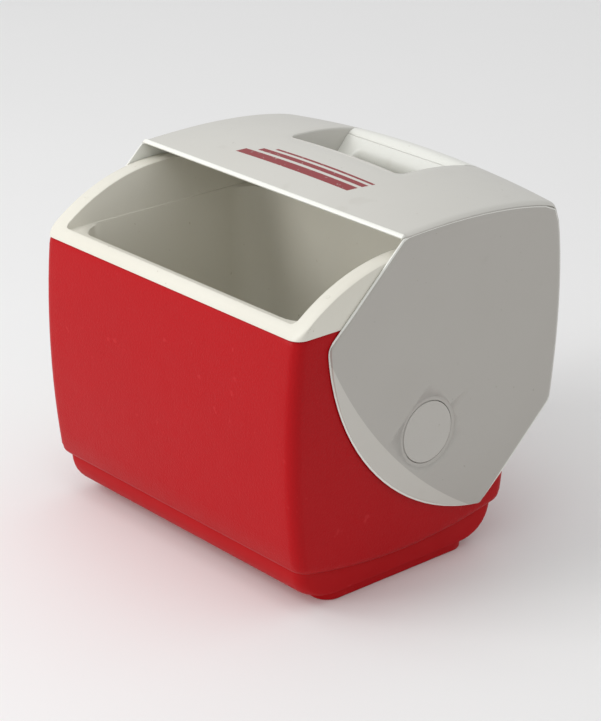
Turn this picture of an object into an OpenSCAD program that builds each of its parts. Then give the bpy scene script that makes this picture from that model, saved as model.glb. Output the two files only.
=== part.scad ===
// Small insulated cooler with a tent-shaped lid that swings on two side arms.
// +Z is up, +X points to the push-button side and +Y to the back.
// The origin is the middle of the flat rest face under the base.
// The lid is drawn in its closed place and then swung back by lid_open about the pivot axis.

/* [Body] */
// Width of the body across its two side walls
body_w = 279; // [235:1:335]
// Depth of the body at the rim seam
body_d = 201; // [168:1:241]
// Height of the rim seam above the rest face
seam_h = 204; // [170:1:245]
// Height of the crease above the skirt, at the corners
crease_h = 33; // [22:1:40]
// Outward crown of the front and back walls between seam and crease
wall_crown = 5.6; // [0:0.2:8]
// How much each front and back wall comes in from seam to crease
wall_draft = 3.2; // [0:0.2:6]
// Radius of the four upright edges
edge_r = 9; // [6:1:14]
// Wall of the outer shell
shell_wall = 2.5; // [1.5:0.1:3.2]

/* [Base] */
// How far the skirt curves in under the front and back walls
skirt_in = 23; // [16:1:28]
// How far the skirt comes in under the side walls
side_skirt_in = 0.6; // [0.4:0.1:6]
// Dip of the side crease below its ends
side_dip = 12; // [1:1:14]
// Step in from the walls to the skirt at the crease
crease_in = 4.6; // [1:0.1:6]
// Rounding of the walls' lower edge above the crease
lip_r = 5; // [4:0.1:6]
// Height of the plinth that the cooler stands on
plinth_h = 7; // [4:1:9]
// Inset of the plinth from the skirt
plinth_inset = 2; // [1.6:0.2:6]

/* [Tub] */
// Width of the rim around the tub
rim_w = 14.4; // [11:0.2:18]
// Rise of the curved rim above the seam at mid-depth
rim_rise = 38.9; // [30:0.5:47]
// Depth of the front and back rim bands in plan
band_w = 9; // [6:0.5:12]
// Width of the ledge inside the front and back bands
ledge_w = 7.5; // [5:0.5:10]
// Height of the ledge above the seam
ledge_h = 4.5; // [2:0.5:7]
// Wall of the liner
liner_wall = 2; // [1.2:0.1:2.4]
// Thickness of the insulated floor
floor_t = 18; // [13:1:22]
// Radius of the upright corners inside the tub
tub_r = 24; // [16:1:30]

/* [Lid] */
// Height of the lid pivot below the seam
pivot_drop = 87; // [73:1:104]
// Angle that the lid is swung back in its rest place
lid_open = 47.2; // [40:0.1:50]
// Gap between the swinging lid and the rim corners
rim_gap = 2.5; // [1.5:0.1:3]
// Gap between the side walls and the arms
arm_gap = 0.5; // [0.4:0.1:1]
// Thickness of the arm panels
arm_wall = 2.2; // [1.8:0.1:3]
// Overhang of the lid eaves beyond the seam
eave_over = 7.3; // [6:0.1:9]
// Wall of the lid shell
lid_wall = 2.2; // [1.5:0.1:2.4]
// Extra height of the ridge at mid-length
ridge_camber = 9.5; // [0:0.5:12]
// Crown of the roof slopes at the ends
end_crown = 7; // [3:0.5:9]
// Further crown of the roof slopes at mid-length
mid_crown = 6.4; // [0:0.2:9]
// Drop of the round lower arm edge below the pivot
arm_drop = 41.2; // [41:0.2:48]
// Radius of the round lower arm edge
arm_r = 167; // [150:1:200]
// Height of the bevelled crescent at the middle of the lower arm edge
bevel_h = 17.6; // [10:0.2:20]
// Thickness of the arm at its bevelled edge
arm_edge = 0.8; // [0.5:0.1:1.4]

/* [Handle] */
// Length of the grip bar
grip_l = 118; // [100:1:142]
// Front-to-back width of the grip bar
grip_w = 36; // [30:1:43]
// Finger room under the grip bar
finger_h = 25; // [21:1:30]
// Height of the grip bar at its ends
grip_h = 21; // [18:0.5:25]
// Depth of the grip's seam line below the end of the ridge
cap_h = 6; // [4:0.5:9]
// Width of the posts at each end of the hand slot
post_w = 13; // [11:0.5:16]

/* [Button] */
// Radius of the push button
button_r = 22.5; // [19:0.5:24]
// Distance of the button's middle behind the pivot
button_back = 16.8; // [14:0.2:18]
// Height of the button's middle above the pivot
button_up = 5.9; // [4:0.1:7]
// Travel of the button
button_travel = 2; // [1:0.1:2.2]
// Depth of the finger dish in the button
dish = 1.4; // [0.6:0.1:1.6]
// Radius of the button stem
stem_r = 4; // [3.4:0.1:4.8]
// Radius of the latch pin
latch_r = 2.5; // [2:0.1:3]

/* [Pivot] */
// Radius of the pivot pins
pin_r = 4; // [3.3:0.1:4.8]
// Wall of the pivot bushes
bush_wall = 3; // [2:0.1:3.6]
// Radial running clearance of pins and stem
running = 0.06; // [0.03:0.01:0.1]

/* [Hidden] */
$fn = 96;

thin = 0.01;
over = 1;
half_w = body_w / 2;
half_d = body_d / 2;
pivot_h = seam_h - pivot_drop;
tub_hw = half_w - rim_w;

// The crease is an arc on each side wall, level with the front crease at its ends
crease_low = crease_h - side_dip;
crease_run = half_d - wall_draft;
crease_r = (crease_run * crease_run + side_dip * side_dip) / (2 * side_dip);

// The rim is a barrel vault about a line along X
vault_r = (half_d * half_d + rim_rise * rim_rise) / (2 * rim_rise);
vault_z = seam_h + rim_rise - vault_r;

// Lid sections, measured from the pivot with the lid closed.
// The lid clears the rim's corners and the top of its vault, whichever reaches farther
rim_reach = max(sqrt(half_d * half_d + pivot_drop * pivot_drop), pivot_drop + rim_rise);
lid_r = rim_reach + rim_gap;
eave_y = half_d + eave_over;
eave_z = pivot_drop + 2;
arm_in = half_w + arm_gap;
arm_out = arm_in + arm_wall;
slot_z = lid_r + 6.6;
grip_z = slot_z + finger_h;
ridge_end = grip_z + grip_h;
pocket_l = grip_l;
pocket_d = 64;
ridge_soft = 5;
roof_steps = 8;
slope_steps = 9;
skirt_steps = 6;
wall_steps = 8;

// Stack of the push button, as X places on the right side
cup_floor = half_w - 15.5;
cup_wall = 1.4;
strike_x = cup_floor + 2;
strike_t = 1;
housing_wall = 1.3;
housing_r = button_r + 0.3 + housing_wall;
plate_x = cup_floor + 7.5;
plate_t = 2;
button_in = arm_out - 3.8;
button_out = arm_out - 0.2;
clip_t = 0.8;
clip_x = plate_x - 0.2 - clip_t;
latch_tip = strike_x + 0.4;
button_reach = sqrt(button_back * button_back + button_up * button_up);
button_angle = atan2(button_up, button_back);

// The cup is one circle round every place the button housing swings through
swing = lid_open;
cup_shift = button_reach * cos(swing);
cup_r = button_reach * sin(swing) + housing_r + 0.6;
cup_left_r = 17;
cup_top = pivot_h + cup_shift * sin(button_angle) + cup_r + cup_wall;
cup_lip = 2;
boss_r = 9.5;

// The tub's end walls lean in, so that the liner passes behind the pivot cups
tub_top = seam_h + rim_rise + over;
tub_low = floor_t;
end_gap = tub_hw + liner_wall + 0.4 - cup_floor + cup_wall;
end_draft = end_gap * (tub_top - tub_low - 20) / (tub_top - cup_top);

// Rivets of the strike, on a circle outside the latch slot
rivet_ring = button_reach + latch_r + 6.7;
rivet_r = 1.2;
rivet_head = 2.4;
pin_end = cup_floor + 1;
pin_head_r = 4.8;
washer_t = 0.4;
washer_gap = 0.3;
bush_top = plate_x - washer_t - washer_gap;

red = [0.76, 0.05, 0.08];
ivory = [0.84, 0.83, 0.79];
white = [0.88, 0.88, 0.85];
grey = [0.78, 0.78, 0.75];
foam = [0.93, 0.9, 0.7];
steel = [0.7, 0.71, 0.73];

// ---- shared shapes ----

// Four thin corner discs of a rounded rectangle, with their top faces at z, for a hull to join
module slice(hx, hy, r, z) {
  for (sx = [-1, 1], sy = [-1, 1])
    translate([sx * (hx - r), sy * (hy - r), z - thin])
      cylinder(r = r, h = thin, $fn = 32);
}

// Wall half-depth at height z between crease and seam
function wall_y(z) =
  let (t = (z - crease_h) / (seam_h - crease_h))
  half_d - wall_draft * (1 - t) + 4 * wall_crown * t * (1 - t);

// Wall half-width at height z between crease and seam
function wall_x(z) =
  let (t = (z - crease_h) / (seam_h - crease_h))
  half_w - 1.9 * (1 - t);

// Outside of the body up to the seam
module body_block() {
  intersection() {
    hull()
      for (i = [0:wall_steps])
        let (z = crease_low - over + (seam_h - crease_low + over) * i / wall_steps)
          slice(wall_x(z), wall_y(z), edge_r, z);
    crease_drum();
  }
  hull() {
    slice(wall_x(crease_h) - crease_in, wall_y(crease_h) - crease_in, edge_r, crease_h + lip_r / 2);
    skirt_slices(0);
  }
}

// Drum along X whose underside is the crease line, rounded where the walls turn in
module crease_drum() {
  hx = wall_x(crease_h);
  hy = wall_y(crease_h);
  turn = lip_r / 3;
  out = hy + 2 * wall_crown + over;
  top = seam_h + over;
  intersection() {
    translate([0, 0, crease_low + crease_r])
      rotate([0, 90, 0])
        rotate_extrude($fn = 256)
          polygon([
            [0, -half_w],
            [crease_r - lip_r, -half_w],
            [crease_r - lip_r, -hx],
            [crease_r - turn, turn - hx],
            [crease_r, lip_r - hx],
            [crease_r, hx - lip_r],
            [crease_r - turn, hx - turn],
            [crease_r - lip_r, hx],
            [crease_r - lip_r, half_w],
            [0, half_w]
          ]);
    rotate([90, 0, 90])
      linear_extrude(body_w, center = true)
        polygon([
          [-out, top],
          [-out, crease_h + lip_r],
          [-hy, crease_h + lip_r],
          [turn - hy, crease_h + turn],
          [lip_r - hy, crease_h],
          [lip_r - hy, 0],
          [hy - lip_r, 0],
          [hy - lip_r, crease_h],
          [hy - turn, crease_h + turn],
          [hy, crease_h + lip_r],
          [out, crease_h + lip_r],
          [out, top]
        ]);
  }
}

// Slices of the skirt under the crease, inset by t
module skirt_slices(t) {
  skirt_h = crease_h - plinth_h;
  for (i = [1:skirt_steps])
    let (a = 90 * i / skirt_steps, z = crease_h - (skirt_h - t) * sin(a))
      slice(wall_x(crease_h) - t - crease_in - side_skirt_in * (1 - cos(a)),
            wall_y(crease_h) - t - crease_in - skirt_in * (1 - cos(a)), edge_r - t + 0.6 * i, z);
}

// Hollow of the body up to the seam, inset by t
module inner_block(t) {
  hull() {
    for (i = [1:wall_steps])
      let (z = crease_h + (seam_h - crease_h) * i / wall_steps)
        slice(wall_x(z) - t, wall_y(z) - t, edge_r - t, z);
    skirt_slices(t);
  }
}

// Solid under the vault surface and above the seam, inset by t
module vault_block(t) {
  intersection() {
    translate([0, 0, seam_h - t])
      linear_extrude(rim_rise + over)
        rounded_plan(half_w - t, half_d - t, edge_r - t);
    along_x(vault_r - t, body_w, 0, vault_z, 192);
  }
}

module rounded_plan(hx, hy, r) {
  translate([-hx + r, -hy])
    square([2 * (hx - r), 2 * hy]);
  translate([-hx, -hy + r])
    square([2 * hx, 2 * (hy - r)]);
  for (sx = [-1, 1], sy = [-1, 1])
    translate([sx * (hx - r), sy * (hy - r)])
      circle(r);
}

// Cylinder along X about a line at (y, z)
module along_x(r, length, y, z, sides = 96) {
  translate([-length / 2, y, z])
    rotate([0, 90, 0])
      cylinder(r = r, h = length, $fn = sides);
}

// Disc or pin along X from x0 to x1, about a line at (y, z)
module pin_x(r, x0, x1, y = 0, z = 0) {
  translate([min(x0, x1), y, z])
    rotate([0, 90, 0])
      cylinder(r = r, h = abs(x1 - x0));
}

// Tube along X from x0 to x1
module tube_x(r_out, r_in, x0, x1, y = 0, z = 0) {
  difference() {
    pin_x(r_out, x0, x1, y, z);
    pin_x(r_in, min(x0, x1) - over, max(x0, x1) + over, y, z);
  }
}

// The tub's hollow, grown by e, with a wider mouth above the ledge
module cavity(e) {
  floor_z = floor_t - e;
  open_hy = half_d - band_w + e;
  tub_hy = open_hy - ledge_w;
  mouth_hw = tub_hw + 0.8 + e;
  hull() {
    slice(tub_hw + e, tub_hy, tub_r + e, tub_top);
    slice(tub_hw - end_draft + e, tub_hy - 4, tub_r + e, tub_low + 20);
    slice(tub_hw - end_draft - 3 + e, tub_hy - 7, tub_r - 2 + e, floor_z + 6);
    slice(tub_hw - end_draft - 10 + e, tub_hy - 14, tub_r - 8 + e, floor_z + thin);
  }
  translate([-mouth_hw, -open_hy, seam_h + ledge_h - e])
    cube([2 * mouth_hw, 2 * open_hy, rim_rise + 2 * over]);
}

// Hollow in the side wall for the swinging hub, grown by e
module cup_room(side, e) {
  x0 = side * (cup_floor - cup_wall - e);
  x1 = side * (half_w + 2 * over);
  if (side > 0)
    pin_x(cup_r + cup_wall + e, x0, x1, cup_shift * cos(button_angle), pivot_h + cup_shift * sin(button_angle));
  else
    pin_x(cup_left_r + cup_wall + e, x0, x1, 0, pivot_h);
}

// ---- body pieces ----

module outer_shell() {
  color(red)
    difference() {
      union() {
        difference() {
          body_block();
          translate([0, 0, thin])
            inner_block(shell_wall);
        }
        plinth();
      }
      for (side = [-1, 1])
        cup_room(side, 0);
    }
}

module plinth() {
  hx = wall_x(crease_h) - crease_in - side_skirt_in - plinth_inset;
  hy = wall_y(crease_h) - crease_in - skirt_in - plinth_inset;
  linear_extrude(plinth_h + 1)
    rounded_plan(hx, hy, edge_r + 3);
}

module body_foam() {
  color(foam)
    difference() {
      union() {
        intersection() {
          inner_block(shell_wall + 0.05);
          translate([-half_w, -half_d - 9, plinth_h + 1])
            cube([body_w, body_d + 18, seam_h - liner_wall - plinth_h - 1]);
        }
        intersection() {
          vault_block(liner_wall + 0.6);
          translate([-half_w, -half_d, seam_h - liner_wall - 1])
            cube([body_w, body_d, rim_rise + over]);
        }
      }
      cavity(liner_wall + 0.05);
      for (side = [-1, 1])
        cup_room(side, 0.05);
    }
}

module inner_liner() {
  color(white)
    difference() {
      union() {
        difference() {
          vault_rim();
          vault_block(liner_wall + 0.5);
        }
        intersection() {
          cavity(liner_wall);
          along_x(vault_r, body_w, 0, vault_z, 192);
        }
      }
      cavity(0);
    }
}

// The vault above the seam
module vault_rim() {
  intersection() {
    vault_block(0);
    translate([-half_w - over, -half_d - over, seam_h])
      cube([body_w + 2 * over, body_d + 2 * over, rim_rise + over]);
  }
}

module pivot_cup_right() {
  cy = cup_shift * cos(button_angle);
  cz = pivot_h + cup_shift * sin(button_angle);
  color(white)
    difference() {
      union() {
        difference() {
          pin_x(cup_r + cup_wall, cup_floor - cup_wall, half_w - cup_lip, cy, cz);
          pin_x(cup_r, cup_floor, half_w + over, cy, cz);
        }
        pin_x(boss_r + 3, cup_floor, strike_x, 0, pivot_h);
        pin_x(boss_r, cup_floor, bush_top - 0.6, 0, pivot_h);
        for (p = strike_places())
          pin_x(rivet_head + 0.8, cup_floor, strike_x, p[0], p[1]);
      }
      pin_x(pin_r + bush_wall, cup_floor, half_w, 0, pivot_h);
      for (p = strike_places())
        pin_x(rivet_r, cup_floor - cup_wall - over, half_w, p[0], p[1]);
    }
}

module pivot_cup_left() {
  color(white)
    difference() {
      union() {
        difference() {
          pin_x(cup_left_r + cup_wall, -cup_floor + cup_wall, -half_w + cup_lip, 0, pivot_h);
          pin_x(cup_left_r, -cup_floor, -half_w - over, 0, pivot_h);
        }
        pin_x(boss_r, -cup_floor, -bush_top + 0.6, 0, pivot_h);
      }
      pin_x(pin_r + bush_wall, -cup_floor, -half_w, 0, pivot_h);
    }
}

module pivot_bush(side) {
  color(grey)
    tube_x(pin_r + bush_wall, pin_r + running, side * cup_floor, side * bush_top, 0, pivot_h);
}

// Rivet places of the strike, outside the latch slot
function strike_places() = [
  for (a = [-60, 0, 60])
    [rivet_ring * cos(a + button_angle), pivot_h + rivet_ring * sin(a + button_angle)]
];

// Steel plate with a curved slot that the latch pin runs in
module latch_strike() {
  sweep = lid_open;
  color(steel)
    difference() {
      intersection() {
        pin_x(rivet_ring + 5, strike_x, strike_x + strike_t, 0, pivot_h);
        pin_x(cup_r - 0.5, strike_x, strike_x + strike_t,
              cup_shift * cos(button_angle), pivot_h + cup_shift * sin(button_angle));
      }
      pin_x(boss_r + 0.2, strike_x - over, strike_x + strike_t + over, 0, pivot_h);
      translate([strike_x - over, 0, pivot_h])
        rotate([90, 0, 90])
          rotate([0, 0, button_angle - sweep - 14])
            rotate_extrude(angle = 2 * sweep + 28)
              translate([button_reach - latch_r - 0.8, 0])
                square([2 * latch_r + 1.6, strike_t + 2 * over]);
      for (p = strike_places())
        pin_x(rivet_r, strike_x - over, strike_x + strike_t + over, p[0], p[1]);
    }
}

module strike_rivets() {
  color(steel)
    for (p = strike_places()) {
      pin_x(rivet_r, cup_floor - cup_wall, strike_x + strike_t, p[0], p[1]);
      pin_x(rivet_head, strike_x + strike_t, strike_x + strike_t + 0.8, p[0], p[1]);
    }
}

// ---- lid pieces, drawn closed about the pivot and then swung open ----

module swung() {
  translate([0, 0, pivot_h])
    rotate([-lid_open, 0, 0])
      children();
}

// Height of the roof above the pivot, lowered by t
function roof_z(x, y) =
  let (
    q = 1 - pow(x / arm_out, 2),
    apex = ridge_end + ridge_camber * q,
    run = sqrt(eave_y * eave_y + ridge_soft * ridge_soft) - ridge_soft,
    s = max(0, 1 - (sqrt(y * y + ridge_soft * ridge_soft) - ridge_soft) / run)
  )
  eave_z + (apex - eave_z) * s + 4 * (end_crown + mid_crown * q) * s * (1 - s);

// Roof section at x as points, inset by t
function roof_section(x, t) = [
  for (i = [-slope_steps:slope_steps])
    let (y = i / slope_steps * (eave_y - t))
      [y, roof_z(x, y) - 1.35 * t]
];

// Solid under the roof and above the eaves, inset by t
module roof_block(t, hx) {
  hull()
    for (i = [-roof_steps:roof_steps])
      let (x = hx * sin(90 * i / roof_steps))
        translate([x - thin / 2, 0, 0])
          rotate([90, 0, 90])
            linear_extrude(thin)
              polygon(concat(
                [[eave_y - t, eave_z], [-eave_y + t, eave_z]],
                roof_section(x, t)
              ));
}

// Pocket round the grip, grown by e
module grip_pocket(e) {
  translate([-pocket_l / 2 - e, -pocket_d - e, slot_z - e])
    cube([pocket_l + 2 * e, 2 * (pocket_d + e), ridge_end]);
}

// Outline of the grip bar across its length, grown by e
module grip_outline(e) {
  r = 11;
  w = grip_w / 2 + e;
  translate([-w, grip_z + r - e])
    square([2 * w, ridge_end]);
  translate([-w + r, grip_z - e])
    square([2 * (w - r), r + over]);
  for (s = [-1, 1])
    translate([s * (w - r), grip_z + r - e])
      circle(r);
}

module grip_bar(e, hx) {
  intersection() {
    translate([-hx, 0, 0])
      rotate([90, 0, 90])
        linear_extrude(2 * hx)
          grip_outline(e);
    roof_block(0, arm_in - thin);
  }
}

module grip_posts() {
  for (s = [-1, 1])
    translate([s * (pocket_l - post_w) / 2 - post_w / 2, -grip_w / 2 + 3, slot_z - over])
      cube([post_w, grip_w - 6, finger_h + over]);
}

function screw_x() = pocket_l / 2 - post_w / 2;

module grip_screw_holes(r) {
  for (s = [-1, 1])
    translate([s * screw_x(), 0, slot_z - 12])
      cylinder(r = r, h = finger_h + 12 + grip_h - 4);
}

module lid_roof() {
  color(grey)
    swung()
      difference() {
        union() {
          difference() {
            roof_block(0, arm_in - thin);
            roof_block(lid_wall, arm_in + over);
          }
          intersection() {
            roof_block(0, arm_in - thin);
            grip_pocket(lid_wall);
          }
        }
        difference() {
          grip_pocket(0);
          grip_posts();
        }
        grip_screw_holes(1.6);
      }
}

// Liner of the lid: a barrel over the rim, with an end wall at each arm
module lid_liner() {
  color(white)
    swung()
      intersection() {
        difference() {
          union() {
            along_x(lid_r + lid_wall - 0.4, 2 * arm_in, 0, 0, 192);
            for (s = [-1, 1])
              translate([s * (arm_in - 1) - 1, -eave_y, eave_z])
                cube([2, 2 * eave_y, ridge_end]);
            translate([-arm_in, -eave_y, eave_z])
              cube([2 * arm_in, 2 * eave_y, 2]);
          }
          along_x(lid_r, 2 * arm_in + over, 0, 0, 192);
          grip_pocket(lid_wall + 0.05);
        }
        roof_block(lid_wall + 0.05, arm_in - 0.05);
      }
}

module lid_foam() {
  color(foam)
    swung()
      difference() {
        intersection() {
          roof_block(lid_wall + 0.3, arm_in - 2.1);
          translate([-arm_in, -eave_y, eave_z + 2.1])
            cube([2 * arm_in, 2 * eave_y, ridge_end]);
        }
        along_x(lid_r + lid_wall - 0.3, 2 * arm_in + over, 0, 0, 192);
        grip_pocket(lid_wall + 0.1);
        grip_screw_holes(4);
      }
}

// Side outline of an arm: tent above the eaves, round lower edge below them
module arm_outline() {
  side_y = eave_y - 1;
  arc_z = arm_r - arm_drop;
  corner_r = 12;
  inner_r = arm_r - corner_r;
  end_a = asin((side_y - corner_r) / inner_r);
  corner_z = arc_z - inner_r * cos(end_a);
  steps = 5;
  turn = 90 - end_a;
  corner = [
    for (i = [0:steps])
      let (a = turn * i / steps)
        [side_y - corner_r + corner_r * cos(a), corner_z - corner_r * sin(a)]
  ];
  arc = [
    for (i = [11:-1:-11])
      let (a = end_a * i / 12)
        [arm_r * sin(a), arc_z - arm_r * cos(a)]
  ];
  polygon(concat(
    roof_section(arm_out, 0),
    corner,
    arc,
    [for (i = [steps:-1:0]) [-corner[i][0], corner[i][1]]]
  ));
}

// Arm panel on the +X side, with a crescent bevelled off along its round lower edge
module arm_panel() {
  facet_r = 2 * arm_r;
  facet_z = facet_r - arm_drop + bevel_h;
  intersection() {
    translate([arm_in, 0, 0])
      rotate([90, 0, 90])
        linear_extrude(arm_wall)
          arm_outline();
    translate([arm_in, 0, facet_z])
      rotate([0, 90, 0])
        cylinder(r1 = facet_r + bevel_h * arm_wall / (arm_wall - arm_edge), r2 = facet_r, h = arm_wall, $fn = 360);
  }
}

module arm_right() {
  color(grey)
    swung()
      difference() {
        union() {
          arm_panel();
          pin_x(housing_r, plate_x, arm_in + 0.5, button_back, button_up);
        }
        pin_x(button_r + 0.3, plate_x + plate_t, arm_out + over, button_back, button_up);
        pin_x(button_r + 3.3, arm_out - 0.6, arm_out + over, button_back, button_up);
        pin_x(stem_r + running, plate_x - over, arm_out, button_back, button_up);
        pin_x(pin_r, plate_x - over, arm_out, 0, 0);
      }
}

module arm_left() {
  color(grey)
    swung()
      difference() {
        union() {
          mirror([1, 0, 0])
            arm_panel();
          pin_x(pin_r + 5, -plate_x, -arm_in - 0.5);
        }
        pin_x(pin_r, -plate_x + over, -arm_in);
      }
}

module grip_cap() {
  color(white)
    swung()
      difference() {
        intersection() {
          grip_bar(0, pocket_l / 2);
          cap_space();
        }
        grip_screw_holes(1.2);
      }
}

// Space above the seam line of the grip
module cap_space() {
  translate([-pocket_l, -grip_w, ridge_end - cap_h])
    cube([2 * pocket_l, 2 * grip_w, 3 * grip_h]);
}

module grip_base() {
  color(white)
    swung()
      difference() {
        grip_bar(0, pocket_l / 2);
        cap_space();
        grip_screw_holes(1.6);
      }
}

module grip_screws() {
  color(steel)
    swung()
      for (s = [-1, 1])
        translate([s * screw_x(), 0, slot_z - lid_wall]) {
          cylinder(r = 1.2, h = finger_h + lid_wall + grip_h - 4);
          translate([0, 0, -1.6])
            cylinder(r = 2.8, h = 1.6);
        }
}

module pivot_pin_right() {
  color(steel)
    swung() {
      pin_x(pin_r, pin_end, plate_x + plate_t);
      pin_x(pin_head_r, plate_x + plate_t, plate_x + plate_t + 1.6);
    }
}

module pivot_pin_left() {
  color(steel)
    swung()
      pin_x(pin_r, -pin_end, -arm_in);
}

module pivot_washer(side) {
  color(white)
    swung()
      tube_x(pin_r + 3.6, pin_r, side * (plate_x - washer_t), side * plate_x);
}

// ---- push button ----

module release_button() {
  dish_r = (button_r * button_r + dish * dish) / (2 * dish);
  color(grey)
    swung()
      difference() {
        union() {
          pin_x(button_r, button_in, button_out, button_back, button_up);
          pin_x(stem_r, clip_x - 1.4, button_in + 1, button_back, button_up);
        }
        translate([button_out - dish + dish_r, button_back, button_up])
          sphere(dish_r, $fn = 256);
        pin_x(latch_r, clip_x - over - 1.4, button_in - 2, button_back, button_up);
        tube_x(stem_r + over, stem_r - 0.7, clip_x, clip_x + clip_t, button_back, button_up);
      }
}

module latch_pin() {
  color(steel)
    swung()
      pin_x(latch_r, latch_tip, button_in - 2, button_back, button_up);
}

module stem_clip() {
  color(steel)
    swung()
      tube_x(stem_r + 2, stem_r - 0.7, clip_x, clip_x + clip_t, button_back, button_up);
}

// Ring of points round a helix of radius r, at turn angle a and height z
function coil_ring(r, wire, a, z) = [
  for (k = [0:7])
    let (b = 45 * k)
      [z + wire * sin(b), (r + wire * cos(b)) * cos(a), (r + wire * cos(b)) * sin(a)]
];

module button_spring() {
  wire = 0.5;
  turns = 2.5;
  rings = 60;
  x0 = plate_x + plate_t + wire;
  x1 = button_in - wire;
  points = [
    for (i = [0:rings])
      each coil_ring(8, wire, 360 * turns * i / rings, x0 + (x1 - x0) * i / rings)
  ];
  sides = [
    for (i = [0:rings - 1], k = [0:7])
      let (k2 = (k + 1) % 8)
        [8 * i + k, 8 * i + 8 + k, 8 * i + 8 + k2, 8 * i + k2]
  ];
  ends = [[for (k = [0:7]) k], [for (k = [7:-1:0]) 8 * rings + k]];
  color(steel)
    swung()
      translate([0, button_back, button_up])
        polyhedron(points, concat(sides, ends));
}

outer_shell();
body_foam();
inner_liner();
pivot_cup_right();
pivot_cup_left();
pivot_bush(1);  // pivot_bush_right
pivot_bush(-1);  // pivot_bush_left
latch_strike();
strike_rivets();
lid_roof();
lid_foam();
lid_liner();
arm_right();
arm_left();
grip_cap();
grip_base();
grip_screws();
pivot_pin_right();
pivot_pin_left();
pivot_washer(1);  // pivot_washer_right
pivot_washer(-1);  // pivot_washer_left
release_button();
latch_pin();
stem_clip();
button_spring();
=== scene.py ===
"""Looks of a small insulated cooler with a swinging tent-shaped lid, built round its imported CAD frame."""

import math

import bmesh
import bpy
from mathutils import Matrix, Vector


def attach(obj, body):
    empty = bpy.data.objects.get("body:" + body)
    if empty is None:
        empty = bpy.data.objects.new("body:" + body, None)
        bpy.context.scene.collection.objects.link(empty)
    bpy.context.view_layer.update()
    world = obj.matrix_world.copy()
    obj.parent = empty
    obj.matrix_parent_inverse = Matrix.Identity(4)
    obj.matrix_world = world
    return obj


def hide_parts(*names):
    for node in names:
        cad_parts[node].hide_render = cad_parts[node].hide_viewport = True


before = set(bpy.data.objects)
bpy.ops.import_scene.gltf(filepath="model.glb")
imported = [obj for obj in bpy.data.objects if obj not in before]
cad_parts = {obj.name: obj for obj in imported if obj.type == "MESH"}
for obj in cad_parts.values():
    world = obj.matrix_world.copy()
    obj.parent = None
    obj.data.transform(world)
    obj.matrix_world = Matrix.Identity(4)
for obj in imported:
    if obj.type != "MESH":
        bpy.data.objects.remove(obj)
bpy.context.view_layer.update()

MM = 0.001

# ---- sizes of the frame, in millimetres ----

half_w, half_d = 139.5, 100.5
seam_h, pivot_h = 204.0, 117.0
lid_open = math.radians(47.2)
crease_h, side_dip, crease_in, lip_r = 33.0, 12.0, 4.6, 5.0
wall_crown, wall_draft, wall_lean = 5.6, 3.2, 1.9
edge_r, shell_wall = 9.0, 2.5
skirt_in, side_skirt_in = 23.0, 0.6
plinth_h, plinth_inset = 7.0, 2.0
rim_w, rim_rise, band_w, ledge_w, ledge_h = 14.4, 38.9, 9.0, 7.5, 4.5
floor_t, tub_r, end_draft, front_draft = 18.0, 24.0, 11.76, 4.0
eave_y, eave_z = 107.8, 89.0
arm_in, arm_out = 140.0, 142.2
ridge_end, ridge_camber, end_crown, mid_crown, ridge_soft = 188.0, 9.5, 7.0, 6.4, 5.0
arm_r, arm_drop, bevel_h = 167.0, 41.2, 17.6
slot_z, grip_z, seam_z = 142.0, 167.0, 182.0
grip_half_l, grip_half_w, pocket_y, post_w, post_r = 59.0, 18.0, 64.0, 13.0, 9.0
button_y, button_z, button_r = 16.8, 5.9, 22.5
button_in, button_out = 138.4, 142.0
well_r = 22.85  # well in the right arm that the button sits in
hub_in, hub_out = 131.5, 140.4
cup_x, cup_y, cup_z, cup_r, small_cup_r = 121.5, 11.4, 121.0, 39.3, 18.5
past_wall = 145.0  # where a cutter ends outside a side wall
turn_r = 7.0  # rounding between the roof and the arm panels
panel_back, panel_lip, side_roll = 140.1, 1.35, 3.2
bevel_rows = (0.0, 0.02, 0.06, 0.2, 0.45, 0.75, 1.0)
flat_rows, turn_rows = 7, 5

vault_r = (half_d**2 + rim_rise**2) / (2 * rim_rise)
vault_z = seam_h + rim_rise - vault_r
tub_hw = half_w - rim_w
crease_low = crease_h - side_dip
crease_run = half_d - wall_draft
crease_r = (crease_run**2 + side_dip**2) / (2 * side_dip)

to_rest = Matrix.Translation((0, 0, pivot_h)) @ Matrix.Rotation(-lid_open, 4, "X")


# ---- shader maths ----


class Wire:
    """A socket that takes part in Python expressions."""

    def __init__(self, paint, socket):
        self.paint, self.socket = paint, socket

    def _math(self, kind, *values):
        return self.paint.node("ShaderNodeMath", {"operation": kind}, *values)

    def __add__(self, other):
        return self._math("ADD", self, other)

    def __sub__(self, other):
        return self._math("SUBTRACT", self, other)

    def __rsub__(self, other):
        return self._math("SUBTRACT", other, self)

    def __mul__(self, other):
        return self._math("MULTIPLY", self, other)

    def __truediv__(self, other):
        return self._math("DIVIDE", self, other)

    def __lt__(self, other):
        return self._math("LESS_THAN", self, other)

    def __gt__(self, other):
        return self._math("GREATER_THAN", self, other)

    def clamp(self):
        return self.paint.node("ShaderNodeClamp", {}, self)


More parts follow.
